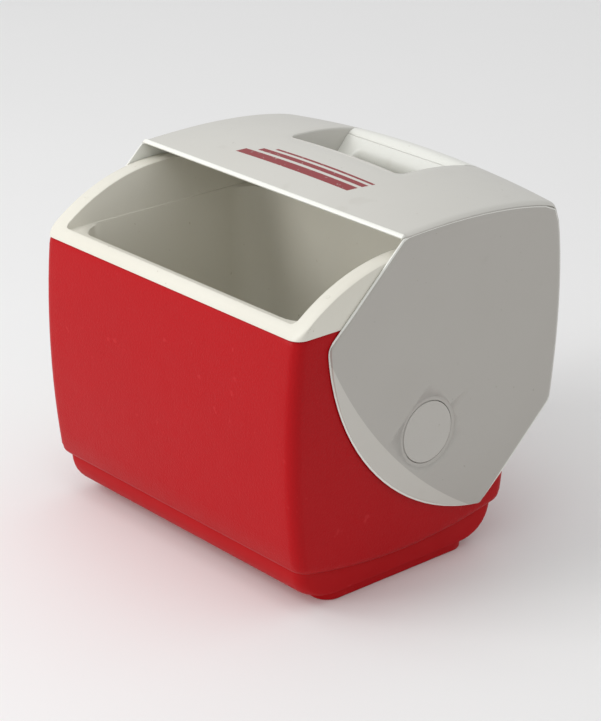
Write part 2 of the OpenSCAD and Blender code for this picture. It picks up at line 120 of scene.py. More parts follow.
class Paint:
    """One material and its nodes."""

    def __init__(self, name, rough=0.5, coat=0.0, metal=0.0):
        self.material = bpy.data.materials.new(name)
        self.material.use_nodes = True
        self.tree = self.material.node_tree
        self.shader = self.tree.nodes["Principled BSDF"]
        self.shader.inputs["Roughness"].default_value = rough
        self.shader.inputs["Coat Weight"].default_value = coat
        self.shader.inputs["Coat Roughness"].default_value = 0.25
        self.shader.inputs["Metallic"].default_value = metal
        self.place = self.node("ShaderNodeTexCoord", {}, out="Object")
        xyz = self.tree.nodes.new("ShaderNodeSeparateXYZ")
        self.tree.links.new(self.place.socket, xyz.inputs[0])
        self.x, self.y, self.z = (Wire(self, s) for s in xyz.outputs)

    def node(self, kind, settings, *values, out=0, **named):
        made = self.tree.nodes.new(kind)
        for key, value in settings.items():
            setattr(made, key, value)
        for key, value in list(enumerate(values)) + list(named.items()):
            socket = made.inputs[key]
            if isinstance(value, Wire):
                self.tree.links.new(value.socket, socket)
            else:
                socket.default_value = value
        return Wire(self, made.outputs[out])

    def noise(self, scale, detail=3.0, rough=0.55):
        sockets = {"Vector": self.place, "Scale": scale, "Detail": detail, "Roughness": rough}
        return self.node("ShaderNodeTexNoise", {}, out="Fac", **sockets)

    def cells(self, scale):
        return self.node("ShaderNodeTexVoronoi", {}, Vector=self.place, Scale=scale, out="Distance")

    def mix(self, amount, first, second):
        made = self.tree.nodes.new("ShaderNodeMix")
        made.data_type = "RGBA"
        for key, value in ((0, amount), (6, first), (7, second)):
            if isinstance(value, Wire):
                self.tree.links.new(value.socket, made.inputs[key])
            else:
                made.inputs[key].default_value = value
        return Wire(self, made.outputs[2])

    def feed(self, socket, wire):
        self.tree.links.new(wire.socket, self.shader.inputs[socket])
        return self

    def bump(self, height, depth):
        made = self.node("ShaderNodeBump", {}, Height=height, Distance=depth, Strength=1.0)
        return self.feed("Normal", made)


def rgb(red, green, blue):
    """Linear colour from screen values of 0 to 255."""
    values = [v / 255 for v in (red, green, blue)]
    return tuple(((v + 0.055) / 1.055) ** 2.4 if v > 10 / 255 else v / 12.92 for v in values) + (1,)


def speckle(paint, scale, level, soft=0.03):
    """Sparse marks where a noise runs above a level."""
    return ((paint.noise(scale, 2.0) - level) / soft).clamp()


def smooth_plastic(name, colour, aged, scuff, rough=0.38, grain=1500.0, depth=0.00002):
    """Satin moulded plastic: fine grain, slow colour drift, a few scuffs and specks."""
    paint = Paint(name, rough, coat=0.08)
    drift = paint.noise(9.0, 2.0)
    base = paint.mix(drift, colour, aged)
    marks = speckle(paint, 240.0, 0.735) * 0.45 + speckle(paint, 34.0, 0.70, 0.08) * 0.12
    paint.feed("Base Color", paint.mix(marks.clamp(), base, scuff))
    paint.feed("Roughness", paint.noise(60.0, 3.0) * 0.12 + (rough - 0.06) + marks * 0.15)
    paint.bump(paint.noise(grain, 2.0) + paint.noise(45.0, 2.0) * 0.8, depth)
    return paint


def red_shell_paint():
    """Pebbled red plastic on the walls, finer and duller on the skirt, with scattered scuffs."""
    paint = Paint("red pebbled plastic", 0.42)
    paint.shader.inputs["Specular IOR Level"].default_value = 0.16
    crease = paint.y * paint.y * (1 / (2 * crease_r * MM)) + (crease_low + 0.4) * MM
    skirt = ((crease - paint.z) / 0.0012).clamp()
    pebble = 1 - paint.cells(620.0)
    grain = pebble * 0.6 + paint.noise(1100.0, 3.0) * 0.7
    drift = paint.noise(7.0, 3.0)
    wall = paint.mix(drift, rgb(164, 0, 8), rgb(174, 1, 12))
    wall = paint.mix((grain - 0.55).clamp() * 0.5, wall, rgb(188, 8, 18))
    low = paint.mix(paint.noise(30.0, 3.0), rgb(166, 2, 10), rgb(176, 5, 14))
    base = paint.mix(skirt, wall, low)
    scuffs = speckle(paint, 90.0, 0.70, 0.05) * 0.35 + speckle(paint, 420.0, 0.74) * 0.5
    paint.feed("Base Color", paint.mix(scuffs.clamp() * 0.6, base, rgb(206, 60, 64)))
    paint.feed("Roughness", paint.noise(80.0, 3.0) * 0.12 + skirt * 0.14 + 0.36)
    paint.bump(grain * (1 - skirt * 0.75) + paint.noise(28.0, 2.0) * 1.2, 0.00016)
    return paint


def closed_lid(paint):
    """Where a point of the lid lies, across and above the pivots, once the lid is closed."""
    above = paint.z - pivot_h * MM
    across = paint.y * math.cos(lid_open) - above * math.sin(lid_open)
    return across, paint.y * math.sin(lid_open) + above * math.cos(lid_open)


def roof_paint():
    """Lid plastic with three plain dark red stripes on the front slope."""
    paint = smooth_plastic("lid plastic", rgb(204, 203, 197), rgb(198, 196, 189), rgb(160, 154, 142))
    across = closed_lid(paint)[0]
    stripes = None
    for low, high, left, right in ((-92.6, -88.0, -63, 57), (-86.2, -83.4, -55, 57), (-81.8, -80.4, -47, 57)):
        slant = paint.x - (across + 0.088) * 0.6
        bar = (across > low * MM) * (across < high * MM) * (slant > left * MM) * (slant < right * MM)
        stripes = bar if stripes is None else stripes + bar
    colour = paint.shader.inputs["Base Color"].links[0].from_socket
    stripes = stripes * (1 - speckle(paint, 300.0, 0.66) * 0.5)
    paint.feed("Base Color", paint.mix(stripes, Wire(paint, colour), rgb(133, 8, 22)))
    return paint


def arm_paint():
    """Arm plastic with painted light: a base darker than the lid's, partly a slight tint of its own and
    partly painted shade, and a painted highlight on the bevelled crescent along the lower edge.
    """
    # darker base colour: partly the arm's own slight tint, partly painted shade for the sideways-facing arm
    paint = smooth_plastic("arm plastic", rgb(181, 178, 172), rgb(174, 170, 163), rgb(140, 132, 118), 0.46)
    across, up = closed_lid(paint)
    reach = 2 * arm_r * MM
    centre = up - (2 * arm_r - arm_drop + bevel_h) * MM
    beyond = (across * across + centre * centre - reach**2) / (2 * reach)
    # painted highlight: the crescent's lighter colour stands in for floor light on the downward-facing bevel
    bevel = (beyond / 0.0004).clamp()
    colour = paint.shader.inputs["Base Color"].links[0].from_socket
    paint.feed("Base Color", paint.mix(bevel * 0.55, Wire(paint, colour), rgb(214, 211, 203)))
    return paint


def metal_paint(name, colour):
    paint = Paint(name, 0.3, metal=1.0)
    paint.feed("Base Color", paint.mix(paint.noise(120.0), colour, tuple(0.8 * c for c in colour[:3]) + (1,)))
    paint.feed("Roughness", paint.noise(500.0, 4.0) * 0.25 + 0.22)
    paint.bump(paint.noise(900.0), 0.00002)
    return paint


def foam_paint():
    paint = Paint("cream foam", 0.9)
    cells = paint.cells(700.0)
    paint.feed("Base Color", paint.mix(cells, rgb(226, 214, 160), rgb(205, 190, 130)))
    paint.feed("Roughness", cells * 0.2 + 0.75)
    paint.bump(cells, 0.0003)
    return paint


def floor_paint():
    paint = Paint("pale floor", 0.75)
    paint.feed("Base Color", paint.mix(paint.noise(3.0), (0.9, 0.9, 0.9, 1), (0.88, 0.88, 0.88, 1)))
    return paint


# ---- mesh tools ----


def plan_ring(corner=7, side_x=24, side_y=24):
    """Points round a rounded rectangle, each a share of the half sizes and an outward direction."""
    points = []
    for turn in range(4):
        start = turn * math.pi / 2
        sx, sy = ((1, 1), (-1, 1), (-1, -1), (1, -1))[turn]
        for i in range(corner + 1):
            a = start + i * math.pi / 2 / corner
            points.append((sx, sy, math.cos(a), math.sin(a)))
        ex, ey = ((-1, 1), (-1, -1), (1, -1), (1, 1))[turn]
        steps = side_x if turn % 2 == 0 else side_y
        a = start + math.pi / 2
        for i in range(1, steps):
            t = i / steps
            points.append((sx + (ex - sx) * t, sy + (ey - sy) * t, math.cos(a), math.sin(a)))
    return points


def loft(plan, stations):
    """Closed solid through rounded-rectangle stations (half x, half y, corner radius, z or z(x, y))."""
    bm = bmesh.new()
    ring = bmesh.ops.create_circle(bm, segments=len(plan), radius=1.0)["verts"]
    edges = list(bm.edges)
    first = list(ring)
    for number, (hx, hy, r, z) in enumerate(stations):
        if number:
            ring, edges = next_ring(bm, ring, edges)
        for vert, (cx, cy, nx, ny) in zip(ring, plan):
            x, y = cx * (hx - r) + r * nx, cy * (hy - r) + r * ny
            vert.co = (x, y, z(x, y) if callable(z) else z)
    bmesh.ops.contextual_create(bm, geom=first)
    bmesh.ops.contextual_create(bm, geom=list(ring))
    return bm


def next_ring(bm, ring, edges):
    """Extrudes a closed ring: its copy, in the ring's order, and the copy's edges."""
    grown = bmesh.ops.extrude_edge_only(bm, edges=edges)["geom"]
    fresh = {g for g in grown if isinstance(g, bmesh.types.BMVert)}
    copies = []
    for vert in ring:
        copies.append(next(e.other_vert(vert) for e in vert.link_edges if e.other_vert(vert) in fresh))
    return copies, edges_within(grown, fresh)


def edges_within(grown, verts):
    return [g for g in grown if isinstance(g, bmesh.types.BMEdge) and all(v in verts for v in g.verts)]


def spun(profile, centre=(0, 0), steps=96):
    """Solid turned about a line along X: profile points are (radius, x)."""
    bm = bmesh.new()
    verts = [bm.verts.new((x, centre[0], centre[1] + r)) for r, x in profile]
    edges = [bm.edges.new((verts[i], verts[(i + 1) % len(verts)])) for i in range(len(verts))]
    line = {"cent": (0, centre[0], centre[1]), "axis": (1, 0, 0), "angle": 2 * math.pi}
    bmesh.ops.spin(bm, geom=verts + edges, steps=steps, use_merge=True, **line)
    bmesh.ops.remove_doubles(bm, verts=bm.verts, dist=1e-4)
    return bm


def rounded(bm, edges, width, segments=3):
    bmesh.ops.bevel(
        bm, geom=edges, offset=width, offset_type="OFFSET", segments=segments, profile=0.5, affect="EDGES",
        clamp_overlap=True, material=-1,
    )


def sharp_edges(bm, degrees=35):
    return [e for e in bm.edges if len(e.link_faces) == 2 and e.calc_face_angle(0) > math.radians(degrees)]


def to_object(bm, name, placed=None, sharp=38):
    """A mesh object at the origin, in metres, with smooth faces that break only at real edges."""
    if placed is not None:
        bm.transform(placed)
    bm.transform(Matrix.Scale(MM, 4))
    bmesh.ops.recalc_face_normals(bm, faces=bm.faces)
    for face in bm.faces:
        face.smooth = True
    for edge in sharp_edges(bm, sharp):
        edge.smooth = False
    mesh = bpy.data.meshes.new(name)
    bm.to_mesh(mesh)
    bm.free()
    piece = bpy.data.objects.new(name, mesh)
    bpy.context.scene.collection.objects.link(piece)
    return piece


def settle(piece, paint, body, slot, *nodes):
    """Gives a piece its material, the body it rides on and the CAD nodes that it stands for."""
    piece.data.materials.clear()
    piece.data.materials.append(paint.material)
    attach(piece, body)
    if nodes:
        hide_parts(*nodes)
    return piece


def carve(piece, cutter):
    """Cuts a closed piece by a closed cutter and drops the cutter."""
    tool = piece.modifiers.new("carve", "BOOLEAN")
    tool.operation, tool.solver, tool.object = "DIFFERENCE", "EXACT", cutter
    shown = piece.evaluated_get(bpy.context.evaluated_depsgraph_get())
    mesh = bpy.data.meshes.new_from_object(shown)
    piece.modifiers.clear()
    piece.data = mesh
    old = cutter.data
    bpy.data.objects.remove(cutter)
    bpy.data.meshes.remove(old)
    return piece


# ---- heights of the frame's surfaces, in millimetres ----


def vault(x, y, drop=0.0):
    return vault_z + math.sqrt(max(vault_r**2 - y * y, 1)) - drop


def wall_y(z):
    t = (z - crease_h) / (seam_h - crease_h)
    return half_d - wall_draft * (1 - t) + 4 * wall_crown * t * (1 - t)


def wall_x(z):
    return half_w - wall_lean * (1 - (z - crease_h) / (seam_h - crease_h))


def crease(x, y):
    return crease_low + crease_r - math.sqrt(crease_r**2 - min(abs(y), crease_run) ** 2)


def roof(x, y):
    q = 1 - (x / arm_out) ** 2
    apex = ridge_end + ridge_camber * q
    run = math.hypot(eave_y, ridge_soft) - ridge_soft
    s = max(0.0, 1 - (math.hypot(y, ridge_soft) - ridge_soft) / run)
    return eave_z + (apex - eave_z) * s + 4 * (end_crown + mid_crown * q) * s * (1 - s)


def end_drop(x):
    """Drop of the roof where it rounds over to the arm panels."""
    past = abs(x) - (arm_out - turn_r)
    return 0.0 if past <= 0 else 1.25 * (turn_r - math.sqrt(max(turn_r**2 - past**2, 0)))


def tub_lean(z, draft):
    """How far a tub wall with a given draft has come in at height z."""
    return draft * (seam_h + rim_rise + 1 - z) / (seam_h + rim_rise + 1 - floor_t - 20)


# ---- body ----


def build_shell(paint):
    plan = plan_ring(8, 28, 24)
    hx, hy = wall_x(crease_h), wall_y(crease_h)
    stations = [(half_w - shell_wall, half_d - shell_wall, edge_r - shell_wall, seam_h - 1.5)]
    stations += [(half_w - 1.6, half_d - 1.6, edge_r + 1, seam_h - 0.3)]
    stations += [(half_w - 0.9, half_d - 0.9, edge_r + 1, seam_h - 0.45)]
    for drop, inset in ((1.2, 0.5), (3, 0.2), (6, 0.05)):
        z = seam_h - drop
        stations.append((wall_x(z) - inset, wall_y(z) - inset, edge_r + inset, z))
    low = crease_h + lip_r + 2
    for i in range(1, 13):
        z = seam_h - 6 - (seam_h - 6 - low) * i / 12

        def level(x, y, z=z, share=(i / 12) ** 2):
            return z - share * (crease_h - crease(x, y))

        stations.append((wall_x(z), wall_y(z), edge_r, level))
    for i in range(5):
        a = i / 4 * math.pi / 2
        inset = (crease_in - 0.3) * (1 - math.cos(a))

        def lip(x, y, rise=lip_r * (1 - math.sin(a))):
            return crease(x, y) + rise

        stations.append((hx - inset, hy - inset, edge_r - inset * 0.3, lip))
    stations.append((hx - crease_in - 0.1, hy - crease_in - 0.1, edge_r - 1, lambda x, y: crease(x, y) - 0.3))
    stations.append((hx - crease_in, hy - crease_in, edge_r, lambda x, y: crease(x, y) - 0.8))
    for i in range(1, 10):
        a = i / 9 * math.pi / 2
        curve = 1 - math.cos(a)

        def tuck(x, y, a=a):
            return crease(x, y) - 1 - (crease(x, y) - 1 - plinth_h) * math.sin(a)

        across, along = hx - crease_in - side_skirt_in * curve, hy - crease_in - skirt_in * curve
        stations.append((across, along, edge_r + 3.6 * i / 9, tuck))
    px, py = hx - crease_in - side_skirt_in - plinth_inset, hy - crease_in - skirt_in - plinth_inset
    stations += [(px + 0.8, py + 0.8, edge_r + 3, plinth_h), (px, py, edge_r + 3, plinth_h - 0.8)]
    for inset, z in ((0, 1.0), (0.3, 0.3), (1, 0)):
        stations.append((px - inset, py - inset, edge_r + 3, z))
    hollow = [(px - 4, py - 4, edge_r, 0)]
    outer = loft(plan, stations + hollow)
    piece = to_object(outer, "red_shell")
    hollow = [
        (half_w - shell_wall - 0.2, half_d - shell_wall - 0.2, edge_r - 3, seam_h + 4),
        (wall_x(110) - shell_wall, wall_y(110) - shell_wall, edge_r - 3, 110),
        (hx - 7, hy - 7, edge_r - 3, crease_h + 6),
        (hx - 8, hy - 16, edge_r - 3, plinth_h + 9),
        (hx - 12, hy - 32, edge_r - 3, plinth_h + 3),
    ]
    carve(piece, to_object(loft(plan_ring(4, 4, 4), hollow), "cutter"))
    right = [(0.01, cup_x), (cup_r, cup_x), (cup_r, past_wall), (0.01, past_wall)]
    carve(piece, to_object(spun(right, (cup_y, cup_z)), "cutter"))
    left = [(0.01, -cup_x), (small_cup_r, -cup_x), (small_cup_r, -past_wall), (0.01, -past_wall)]
    carve(piece, to_object(spun(left, (0, pivot_h)), "cutter"))
    for face in piece.data.polygons:
        face.use_smooth = True
    return settle(piece, paint, "body", "red_shell", "outer_shell")


def build_feet(paint):
    """Small stops under the ends of the skirt, coloured a darker red than the shell as painted shade."""
    bm = bmesh.new()
    for side in (-1, 1):
        for y in (-46, 46):
            size = {"radius1": 3.4, "radius2": 4.6, "depth": 2.4}
            made = bmesh.ops.create_cone(bm, cap_ends=True, segments=24, **size)["verts"]
            bmesh.ops.translate(bm, verts=made, vec=(side * 124, y * 1.3, 5.9))
    rounded(bm, sharp_edges(bm, 60), 0.5, 2)
    return settle(to_object(bm, "base_stops"), paint, "body", "red_shell")


def build_liner(paint):
    plan = plan_ring(8, 20, 36)
    top_hx, open_hy = tub_hw + 0.8, half_d - band_w
    tub_hy = open_hy - ledge_w
    ledge = seam_h + ledge_h
    inner = [
        (half_w - 0.05, half_d - 0.05, edge_r, seam_h - 0.05),
        (half_w - 0.05, half_d - 0.05, edge_r, lambda x, y: max(vault(x, y, 1.6), seam_h + 0.4)),
        (half_w - 0.5, half_d - 0.5, edge_r, lambda x, y: max(vault(x, y, 0.5), seam_h + 0.7)),
        (half_w - 1.5, half_d - 1.5, edge_r - 1, lambda x, y: vault(x, y, 0.05)),
    ]
    for share in (0.35, 0.7):
        inner.append(
            (
                half_w - 1.5 - (half_w - 3 - top_hx) * share,
                half_d - 1.5 - (band_w - 3) * share,
                edge_r - 1 - 5 * share,
                lambda x, y: vault(x, y, 0.03),
            )
        )
    inner += [
        (top_hx + 1.3, open_hy + 1.3, 5, lambda x, y: vault(x, y, 0.05)),
        (top_hx + 0.35, open_hy + 0.35, 4.2, lambda x, y: vault(x, y, 0.5)),
        (top_hx, open_hy, 4, lambda x, y: vault(x, y, 1.5)),
        (top_hx, open_hy, 4, ledge + 0.7),
        (top_hx - 0.25, open_hy - 0.3, 4, ledge + 0.15),
        (top_hx - 0.6, open_hy - 0.9, 4, ledge),
        (top_hx - 0.8, tub_hy + 1.1, 14, ledge),
        (tub_hw - 0.1, tub_hy + 0.3, 20, ledge - 0.35),
        (tub_hw - 0.3, tub_hy, tub_r, ledge - 1.4),
    ]
    walls = []
    for z in (190, 150, 100, 38):
        walls.append((tub_hw - tub_lean(z, end_draft), tub_hy - tub_lean(z, front_draft), tub_r, z))
    foot_hw, foot_hy = walls[-1][0], walls[-1][1]
    foot = [(0.6, 0, 33), (2.2, 0, 27), (5.5, 1, 21.8), (9, 3, 19.2), (13.5, 6, floor_t + 0.1)]
    inner += walls + [(foot_hw - inset, foot_hy - inset, tub_r - r, z) for inset, r, z in foot]
    under = [
        (foot_hw - 14, foot_hy - 14, tub_r - 6, floor_t - 1.6),
        (foot_hw - 2, foot_hy - 2, tub_r, 23),
        (foot_hw + 1.6, foot_hy + 1.6, tub_r, 36),
        (tub_hw - tub_lean(192, end_draft) + 1.6, tub_hy - tub_lean(192, front_draft) + 1.6, tub_r, 192),
        (half_w - 3, half_d - 3, edge_r - 2, seam_h - 2.2),
        (half_w - 2.6, half_d - 2.6, edge_r - 2, seam_h - 0.4),
    ]
    piece = to_object(loft(plan, under + inner), "tub_liner")
    return settle(piece, paint, "body", "white_liner", "inner_liner")


def build_rim_marks(paint):
    """Moulding gate marks on the tops of the rim's gables: tiny dished rings."""
    bm = bmesh.new()
    for side in (-1, 1):
        for y in (-68, 68):
            size = {"radius1": 1.9, "radius2": 1.5, "depth": 0.5}
            made = bmesh.ops.create_cone(bm, cap_ends=True, segments=20, **size)["verts"]
            top = vault(0, y)
            slope = math.atan2(y, math.sqrt(vault_r**2 - y * y))
            bmesh.ops.rotate(bm, verts=made, cent=(0, 0, 0), matrix=Matrix.Rotation(-slope, 3, "X"))
            bmesh.ops.translate(bm, verts=made, vec=(side * (tub_hw + 7), y, top - 0.1))
    caps = [f for f in bm.faces if len(f.verts) > 4 and f.normal.z > 0.5]
    bmesh.ops.inset_individual(bm, faces=caps, thickness=0.7, depth=-0.35)
    return settle(to_object(bm, "rim_gate_marks"), paint, "body", "white_liner")


# ---- lid ----


def cuts(*marks):
    """Even cuts between marks: cuts((0, 4), (10, 2), (14, 0)) makes 4 steps to 10 and 2 steps to 14."""
    values = [marks[0][0]]
    for (start, count), (end, _) in zip(marks, marks[1:]):
        values += [start + (end - start) * i / count for i in range(1, count + 1)]
    return values


def sheet(xs, ys, height):
    bm = bmesh.new()
    bmesh.ops.create_grid(bm, x_segments=len(xs) - 1, y_segments=len(ys) - 1, size=0.5)
    for vert in bm.verts:
        i, j = round((vert.co.x + 0.5) * (len(xs) - 1)), round((vert.co.y + 0.5) * (len(ys) - 1))
        vert.co = height(xs[i], ys[j])
    return bm


def inside_pocket(vert):
    return abs(vert.co.x) < grip_half_l + 0.01 and abs(vert.co.y) < pocket_y + 0.01


def at_pocket_corner(edge):
    """True on the four upright edges of the pocket."""
    start, end = (v.co for v in edge.verts)
    upright = abs(start.x - end.x) < 1e-3 and abs(start.y - end.y) < 1e-3
    return upright and abs(abs(start.x) - grip_half_l) < 1e-3 and abs(abs(start.y) - pocket_y) < 1e-3


def at_pocket_brim(vert):
    return abs(vert.co.x) < grip_half_l + 1 and abs(vert.co.y) < pocket_y + 1 and vert.co.z > slot_z + 1


def build_roof(paint):
    end = arm_in + 0.05
    half_x = cuts((0, 4), (46, 2), (grip_half_l, 7), (128, 2), (arm_out - turn_r, 4), (end, 0))
    half_y = cuts((0, 2), (3, 2), (9, 2), (grip_half_w, 6), (pocket_y, 5), (eave_y - 4, 2), (eave_y, 0))
    xs = [-x for x in reversed(half_x[1:])] + half_x
    ys = [-y for y in reversed(half_y[1:])] + half_y
    bm = sheet(xs, ys, lambda x, y: Vector((x, y, roof(x, y) - end_drop(x))))
    gone = [f for f in bm.faces if all(inside_pocket(v) for v in f.verts)]
    bmesh.ops.delete(bm, geom=gone, context="FACES")
    hole = [e for e in bm.edges if e.is_boundary and all(inside_pocket(v) for v in e.verts)]
    grown = bmesh.ops.extrude_edge_only(bm, edges=hole)["geom"]
    low = [g for g in grown if isinstance(g, bmesh.types.BMVert)]
    for vert in low:
        vert.co.z = slot_z
    bmesh.ops.contextual_create(bm, geom=edges_within(grown, low))
    rounded(bm, [e for e in bm.edges if at_pocket_corner(e)], 5.5, 4)
    rounded(bm, [e for e in sharp_edges(bm, 25) if all(at_pocket_brim(v) for v in e.verts)], 1.6, 3)
    bmesh.ops.recalc_face_normals(bm, faces=bm.faces)
    if sum(f.normal.z for f in bm.faces) < 0:
        bmesh.ops.reverse_faces(bm, faces=bm.faces)
    bmesh.ops.solidify(bm, geom=bm.faces[:], thickness=1.9)
    piece = to_object(bm, "lid_roof_skin", to_rest)
    return settle(piece, paint, "lid", "lid_grey", "lid_roof")


def build_eave_lips(paint):
    """White inner edge that shows along the front and back eaves."""
    bm = bmesh.new()
    for side in (-1, 1):
        made = bmesh.ops.create_cube(bm, size=1.0)["verts"]
        bmesh.ops.scale(bm, verts=made, vec=(2 * arm_in - 0.6, 2.4, 3.4))
        bmesh.ops.translate(bm, verts=made, vec=(0, side * (eave_y - 1.0), eave_z - 0.6))
    rounded(bm, list(bm.edges), 0.7, 3)
    return settle(to_object(bm, "eave_lips", to_rest), paint, "lid", "lid_inner")


def grip_bottom(x):
    """Underside of the grip: level over the slot, curving down to the posts."""
    past = abs(x) - (grip_half_l - post_w - post_r)
    if past <= 0:
        return grip_z
    if past >= post_r:
        return slot_z - 0.4
    return grip_z - (post_r - math.sqrt(post_r**2 - past * past)) * (grip_z - slot_z) / post_r


def grip_section(x, low, high):
    """Outline of the grip across its length, between two levels, as (y, height) points."""
    w = grip_half_w
    points = []
    if high is None:
        top = [(y, roof(x, y)) for y in (-w + 2.6, -11, -7, -3, 0, 3, 7, 11, w - 2.6)]
        edge = roof(x, w)
        points += [(-w, low + 0.5), (-w, edge - 4), (-w + 0.5, edge - 1.8), (-w + 1.3, edge - 0.4)] + top
        points += [(w - 1.3, edge - 0.4), (w - 0.5, edge - 1.8), (w, edge - 4), (w, low + 0.5)]
        return points + [(w - 0.35, low), (0, low), (-w + 0.35, low)]
    turn = 9.0
    narrow = 0.0 if low > grip_z - 1 else min(3.0, (grip_z - low) * 0.12)
    points = [(-w + 0.35, high), (-w, high - 0.5)]
    for i in range(7):
        a = math.pi / 2 * i / 6
        level = min(high - 0.6, low + turn * (1 - math.sin(a)))
        points.append((-w + narrow + turn * (1 - math.cos(a)), level))
    points += [(0, low)]
    for i in range(6, -1, -1):
        a = math.pi / 2 * i / 6
        level = min(high - 0.6, low + turn * (1 - math.sin(a)))
        points.append((w - narrow - turn * (1 - math.cos(a)), level))
    return points + [(w, high - 0.5), (w - 0.35, high), (0, high)]


def sweep_x(xs, section):
    """Closed solid along X through sections of equal length."""
    bm = bmesh.new()
    ring = [bm.verts.new((xs[0], y, z)) for y, z in section(xs[0])]
    first = list(ring)
    edges = [bm.edges.new((ring[i], ring[(i + 1) % len(ring)])) for i in range(len(ring))]
    for x in xs[1:]:
        ring, edges = next_ring(bm, ring, edges)
        for vert, (y, z) in zip(ring, section(x)):
            vert.co = (x, y, z)
    bmesh.ops.contextual_create(bm, geom=first)
    bmesh.ops.contextual_create(bm, geom=ring)
    return bm


def build_grip(paint):
    post = grip_half_l - post_w
    half = cuts((0, 8), (post - post_r, 8), (post, 4), (grip_half_l - 0.15, 0))
    xs = [-x for x in reversed(half[1:])] + half
    cap = sweep_x(xs, lambda x: grip_section(x, seam_z + 0.12, None))
    settle(to_object(cap, "grip_upper_half", to_rest), paint, "lid", "grip_white", "grip_cap")
    base = sweep_x(xs, lambda x: grip_section(x, grip_bottom(x), seam_z - 0.12))
    settle(to_object(base, "grip_lower_half", to_rest), paint, "lid", "grip_white", "grip_base")


def arm_bottom(y, radius=arm_r, drop=arm_drop):
    return radius - drop - math.sqrt(radius**2 - y * y)


def arm_side_y(inset=0.0):
    return eave_y - 1.0 - inset


def outline_low(y, inset=0.0):
    """Lower edge of an arm at y, with its rounded corners."""
    side, corner = arm_side_y(), 12.0
    reach = arm_r - corner
    end = math.asin((side - corner) / reach)
    corner_y, corner_z = side - corner, arm_r - arm_drop - reach * math.cos(end)
    y = min(abs(y), side - 0.01)
    if y <= arm_r * math.sin(end):
        return arm_bottom(y) + inset
    return corner_z - math.sqrt(max(corner**2 - (y - corner_y) ** 2, 0)) + inset


def facet_line(y):
    return arm_bottom(y, 2 * arm_r, arm_drop - bevel_h)


def plate_point(share, y):
    """A point of the arm's inner plate, from its lower edge at 0 to the roof at 1."""
    top = roof(arm_in, y) - end_drop(arm_in + 0.3) - 0.3
    low = outline_low(y)
    return Vector((arm_in - 0.1, y, low + (top - low) * share))


def panel_point(row, y):
    """A point of the grey panel, whose rows climb the crescent, the flat and the turn to the roof."""
    y = max(-arm_side_y(panel_lip), min(arm_side_y(panel_lip), y))
    low, crest = outline_low(y, panel_lip), facet_line(y)
    low = min(low, crest + 60)
    crest = max(crest, low + 0.02)
    edge = max(0.0, side_roll - (arm_side_y(panel_lip) - abs(y)))
    roll = (side_roll - math.sqrt(max(side_roll**2 - edge**2, 0))) * 0.4
    crest_row = len(bevel_rows) - 1
    deepest = 1.2
    if row <= crest_row:
        share = bevel_rows[row]
        h = low + (crest - low) * share
        fall = 1.7 * (1 - share) * min(1.0, (crest - low) / bevel_h)
        fall += {0: 0.3, 1: 0.08}.get(row, 0)
        deepest = 1.95
    elif row <= crest_row + flat_rows:
        share = (row - crest_row) / flat_rows
        high = roof(arm_in, y) - end_drop(arm_out)
        h, fall = crest + (high - 0.4 - crest) * share, 0.0
    else:
        a = math.asin((turn_r - (arm_out - arm_in - 0.15)) / turn_r)
        a = math.pi / 2 - (math.pi / 2 - a) * (row - crest_row - flat_rows) / turn_rows
        x = arm_out - turn_r + turn_r * math.sin(a)
        h, fall = roof(arm_in, y) - end_drop(x), arm_out - x
    return Vector((arm_out - min(deepest, fall + roll), y, h))


def arm_plate(side, name, ys):
    """The white inner plate, thinner below the facet line, with the button's hole on the right."""
    bm = sheet([0, 0.25, 0.5, 0.75, 1], ys, plate_point)
    grown = bmesh.ops.extrude_face_region(bm, geom=bm.faces[:])["geom"]
    for vert in [g for g in grown if isinstance(g, bmesh.types.BMVert)]:
        low = outline_low(vert.co.y)
        above = (vert.co.z - low) / max(1.0, facet_line(vert.co.y) - low)
        vert.co.x += 0.3 + 0.85 * max(0.0, min(1.0, above))
    bmesh.ops.recalc_face_normals(bm, faces=bm.faces)
    rounded(bm, sharp_edges(bm, 70), 0.35, 2)
    plate = to_object(bm, "arm_plate_" + name)
    if side > 0:
        hole = [(0.01, 137), (well_r, 137), (well_r, past_wall), (0.01, past_wall)]
        carve(plate, to_object(spun(hole, (button_y, button_z)), "cutter"))
    return plate


def arm_panel(side, name, ys):
    """The grey panel, with a ringed seat for the button on the right."""
    rows = len(bevel_rows) + flat_rows + turn_rows
    bm = sheet(list(range(rows)), ys, panel_point)
    rim = [e for e in bm.edges if e.is_boundary]
    grown = bmesh.ops.extrude_edge_only(bm, edges=rim)["geom"]
    back = {g for g in grown if isinstance(g, bmesh.types.BMVert)}
    for vert in back:
        vert.co.x = panel_back
    bmesh.ops.contextual_create(bm, geom=edges_within(grown, back))
    bmesh.ops.remove_doubles(bm, verts=bm.verts, dist=0.004)
    panel = to_object(bm, "arm_panel_" + name, sharp=16)
    if side > 0:
        ring = [(0.01, 139), (well_r, 139), (well_r, 141.35), (23.1, 141.6), (25.2, 141.6), (25.8, 142.0)]
        ring += [(25.9, 144), (0.01, 144)]
        carve(panel, to_object(spun(ring, (button_y, button_z)), "cutter"))
    return panel


def arm_hub(side, name):
    """The hub behind the arm: a cup round the button on the right, a plain boss on the left."""
    if side > 0:
        cup = [(4.1, hub_in), (24.1, hub_in), (24.1, hub_out), (well_r, hub_out)]
        cup += [(well_r, hub_in + 2), (4.1, hub_in + 2)]
        hub = spun(cup, (button_y, button_z))
    else:
        hub = spun([(0.01, hub_in), (9, hub_in), (9, hub_out), (0.01, hub_out)])
    return to_object(hub, "arm_hub_" + name)


